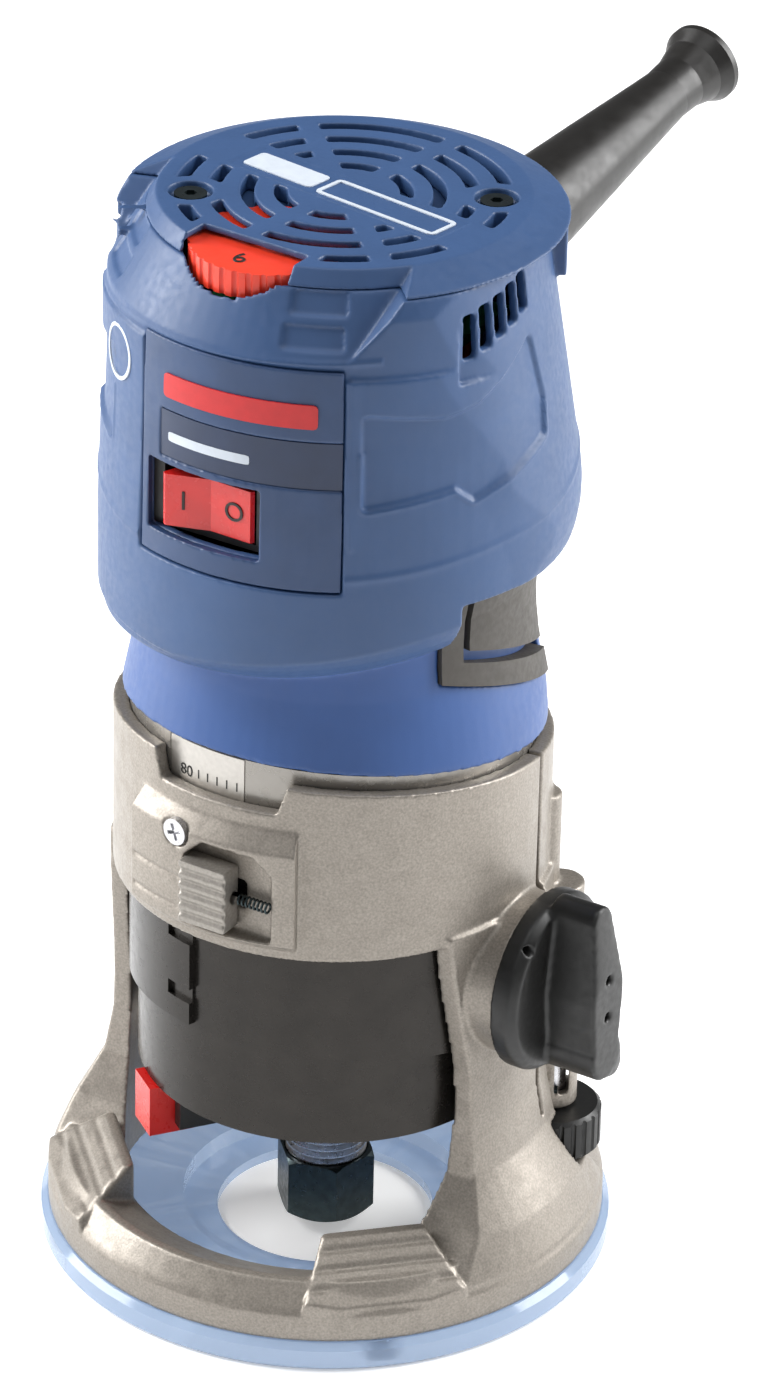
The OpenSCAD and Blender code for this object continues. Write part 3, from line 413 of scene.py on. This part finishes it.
# Outline of the shallow panel on each side of the head, in degrees and millimetres
HEAD_PANEL = [(39, 176), (61, 178.2), (66, 175.2), (91, 181), (92, 187), (88, 198.6), (77, 194.2),
              (68, 191.4), (58, 190.2), (39, 192)]


def head_relief(co, normals):
    """Relief of the moulded head, pressed in or raised along the radius."""
    angle, radius = polar(co)
    z = co[:, 2]
    outward = (normals[:, 0] * co[:, 0] + normals[:, 1] * co[:, 1]) / np.maximum(radius, 1)
    shift = np.zeros(len(co))
    # Side panels with a raised lower rim
    outline = [(a * ARC, height) for a, height in HEAD_PANEL]
    for side in (-1, 1):
        d = outline_distance(angle * side * ARC, z, outline, 1.2)
        shift -= 0.75 * smoothstep(0.5 - d)
        shift += 0.35 * np.exp(-(d / 0.55) ** 2) * (z < 186)
    # The front panel lies a little below a raised edge on its right
    beyond_edge = smoothstep((angle - 34.2) * ARC / 0.5)
    fade = smoothstep((38 - angle) * ARC / 6)
    along = smoothstep((z - 166.5) / 1.5) * smoothstep((201.5 - z) / 1.5)
    shift += 0.65 * beyond_edge * fade * along
    # Ridge at the foot of the front slope
    ridge = 202 + 0.03 * (angle + 9)
    shift += (angle > -60) * (angle < 42) * 0.35 * np.exp(-((z - ridge) / 0.5) ** 2)
    # Faint crease round the lower edge of the head, which rises towards the back
    crease = 160.5 + 5.5 * (1 - np.cos(np.radians(angle - 2)))
    shift += 0.25 * np.exp(-((z - crease) / 0.7) ** 2)
    # Only the outside of the head's wall moves
    shift *= (outward > 0.45) & (z > 154) & (radius > 38)
    scale = 1 + shift / np.maximum(radius, 1)
    co[:, 0] *= scale
    co[:, 1] *= scale
    return co


# The product field on the flat top is turned with its print
CAP_TURN = -9
CAP_FIELD = [(-23, -4.4), (25, -4.4), (25, 4.4), (-23, 4.4)]


def cap_relief(co, normals):
    """A shallow field in the flat top for the print."""
    c, s = math.cos(math.radians(CAP_TURN)), math.sin(math.radians(CAP_TURN))
    x, y = co[:, 0] * c + co[:, 1] * s, co[:, 1] * c - co[:, 0] * s
    field = outline_distance(x, y, CAP_FIELD, 0.6)
    co[:, 2] -= 0.3 * smoothstep(0.5 - field) * (co[:, 2] > 217) * (normals[:, 2] > 0.3)
    return co


def on_grip(co):
    """True below the rounded underside of the head, which rises towards the right and the back."""
    a = math.radians(122)
    return co[:, 2] < 139.6 + 0.158 * (co[:, 0] * math.sin(a) - co[:, 1] * math.cos(a))


def wrapped(name, x0, x1, z0, z1, surface, thick, corner, ink, hole=0.0, steps=(28, 10)):
    """A thin closed plate of print with round corners, bent onto surface(x, z, lift).

    With hole, only a frame of that width is left.
    """
    nx, nz = steps
    half = ((x1 - x0) / 2, (z1 - z0) / 2)
    mid = ((x1 + x0) / 2, (z1 + z0) / 2)
    mesh = bmesh.new()

    def point(u, v, lift, grow=0.0):
        """The plate's point at u, v from -1 to 1, with its corners pulled onto their arcs."""
        w, h = half[0] + grow, half[1] + grow
        c = max(corner + grow, 0.05)
        x, z = u * w, v * h
        ex, ez = abs(x) - (w - c), abs(z) - (h - c)
        reach = math.hypot(ex, ez)
        if ex > 0 and ez > 0 and reach > c:
            x = math.copysign(w - c + ex * c / reach, x)
            z = math.copysign(h - c + ez * c / reach, z)
        return mesh.verts.new(surface(mid[0] + x, mid[1] + z, lift))

    # Steps round the edge, from one corner
    rim = ([(i, 0) for i in range(nx)] + [(nx, j) for j in range(nz)]
           + [(i, nz) for i in range(nx, 0, -1)] + [(0, j) for j in range(nz, 0, -1)])
    if hole:
        rings = [[point(-1 + 2 * i / nx, -1 + 2 * j / nz, lift, grow) for i, j in rim]
                 for grow, lift in ((0, 0), (0, thick), (-hole, thick), (-hole, 0))]
        for ring, following in zip(rings, rings[1:] + rings[:1]):
            for i in range(len(rim)):
                k = (i + 1) % len(rim)
                mesh.faces.new((ring[i], ring[k], following[k], following[i]))
    else:
        grid = {(level, i, j): point(-1 + 2 * i / nx, -1 + 2 * j / nz, thick * level)
                for level in (0, 1) for i in range(nx + 1) for j in range(nz + 1)}
        for level in (0, 1):
            for i in range(nx):
                for j in range(nz):
                    mesh.faces.new((grid[level, i, j], grid[level, i + 1, j],
                                    grid[level, i + 1, j + 1], grid[level, i, j + 1]))
        for (i, j), (k, m) in zip(rim, rim[1:] + rim[:1]):
            mesh.faces.new((grid[0, i, j], grid[0, k, m], grid[1, k, m], grid[1, i, j]))
    bmesh.ops.recalc_face_normals(mesh, faces=mesh.faces)
    data = bpy.data.meshes.new(name)
    mesh.to_mesh(data)
    mesh.free()
    new_object(name, data, MATERIALS[ink], "motor_unit", smooth=False)


def round_wall(radius_at, proud=0.0):
    """Surface that stands proud of a round wall; x runs along the wall from the front."""
    def place(x, z, lift):
        r = radius_at(z) + lift + proud
        a = x / HEAD_RADIUS
        return (r * math.sin(a) * MM, -r * math.cos(a) * MM, z * MM)
    return place


def panel_radius(z):
    """Radius of the front panel, which leans in towards the top."""
    return 43.9 - 0.8 * (z - 158.8) / 42.9


def flat_top(turn, z0):
    """Surface at height z0, with x and y turned by turn degrees about the axis."""
    c, s = math.cos(math.radians(turn)), math.sin(math.radians(turn))

    def place(x, y, lift):
        return ((x * c - y * s) * MM, (x * s + y * c) * MM, (z0 + lift) * MM)
    return place


def lettering(name, text, size_mm, depth_mm, matrix, body):
    """A generic mark or number as a thin dark solid."""
    curve = bpy.data.curves.new(name, "FONT")
    curve.body = text
    curve.size = size_mm * MM
    curve.extrude = depth_mm * MM / 2
    curve.align_x = "CENTER"
    curve.align_y = "CENTER"
    work = bpy.data.objects.new("work", curve)
    bpy.context.scene.collection.objects.link(work)
    graph = bpy.context.evaluated_depsgraph_get()
    mesh = bpy.data.meshes.new_from_object(work.evaluated_get(graph))
    bpy.data.objects.remove(work)
    mesh.transform(matrix)
    shape = bmesh.new()
    shape.from_mesh(mesh)
    bmesh.ops.remove_doubles(shape, verts=shape.verts, dist=1e-6)
    shape.to_mesh(mesh)
    shape.free()
    new_object(name, mesh, MATERIALS["dark_print"], body, smooth=False)


def on_wall(angle, z, radius):
    """Frame on a round wall: x to the right, y up, z outward."""
    a = math.radians(angle)
    out = Vector((math.sin(a), -math.cos(a), 0))
    right = Vector((math.cos(a), math.sin(a), 0))
    turn = Matrix((right, Vector((0, 0, 1)), out)).transposed().to_4x4()
    return Matrix.Translation(Vector((out.x * radius, out.y * radius, z)) * MM) @ turn


def make_prints():
    """Plain bars and rings in the places of the printed names."""
    wrapped("panel_stripe", -10.5, 20.5, 190.8, 195.4, round_wall(panel_radius, -0.05), 0.35, 0.8,
            "red_print", steps=(40, 8))
    wrapped("nameplate_line", -9.5, 8, 182.2, 184, round_wall(lambda z: 43.22), 0.12, 0.4,
            "white_print", steps=(24, 4))
    wrapped("round_badge", -31.6, -21, 187.8, 198.4, round_wall(lambda z: 44.2 - (z - 158) / 32, 0.05),
            0.3, 5.3, "white_print", hole=0.7, steps=(32, 32))
    top = flat_top(CAP_TURN, 217.25)
    wrapped("cap_frame", -4, 24, -3.6, 3.6, top, 0.25, 1.0, "white_print", hole=0.8, steps=(24, 8))
    wrapped("cap_bar", -22, -5.6, -3, 3, top, 0.25, 0.8, "white_print", steps=(20, 8))


ROCKER_PIVOT = Vector((-2.2, -36.5, 170.5))    # its faces are turned 8 degrees from the front
ROCKER_TURN = 8
ROCKER_FACE_TILT = 9.5                         # of each half, away from the other
DIAL_TOP = 215.6
DIAL_MARK_RADIUS = 31.6
SCALE_RADIUS = 38.31
SCALE_HEIGHT = 113.4


def make_marks():
    """Marks of the rocker, the speed dial and the depth scale."""
    rocker = (Matrix.Translation(ROCKER_PIVOT * MM)
              @ Matrix.Rotation(math.radians(ROCKER_TURN), 4, "Z"))
    for name, side, text in (("mark_on", -1, "I"), ("mark_off", 1, "O")):
        half = (Matrix.Translation(Vector((5 * side, -4.5, 0)) * MM)
                @ Matrix.Rotation(math.radians(-ROCKER_FACE_TILT * side), 4, "Z")
                @ Matrix.Rotation(math.radians(90), 4, "X"))
        lettering(name, text, 5.2, 0.3, rocker @ half, "rocker")
    a = math.radians(-3)
    spot = Vector((DIAL_MARK_RADIUS * math.sin(a), -DIAL_MARK_RADIUS * math.cos(a), DIAL_TOP)) * MM
    lettering("dial_number", "6", 5.4, 0.3, Matrix.Translation(spot) @ Matrix.Rotation(0.4, 4, "Z"),
              "speed_dial")
    for i in range(5):
        lettering("scale_tick_%d" % i, "I", 2.6, 0.06,
                  on_wall(-8 + 3.2 * i, SCALE_HEIGHT, SCALE_RADIUS), "motor_unit")
    lettering("scale_number", "80", 3.2, 0.06,
              on_wall(-12.5, SCALE_HEIGHT - 0.2, SCALE_RADIUS + 0.02), "motor_unit")


# ---------- Build ----------

make_camera()
MATERIALS = make_materials()
make_stage()
dress_cad()
softened(["base_casting"], "cast_alloy", 0.42, 3)
softened(["housing_left", "housing_right"], "head_blue", 0.42, 3, head_relief,
         (MATERIALS["grip_blue"], on_grip), slope_ends)
softened(["top_cap"], "head_blue", 0.36, 2, cap_relief)
# The front panel's darker blue is painted shade on the head's blue plastic.
softened(["front_panel"], "panel_blue", 0.3, 2)
softened(["clamp_knob"], "black_plastic", 0.4, 6)
softened(["release_latch"], "latch_grey", 0.3, 3)
make_prints()
make_marks()
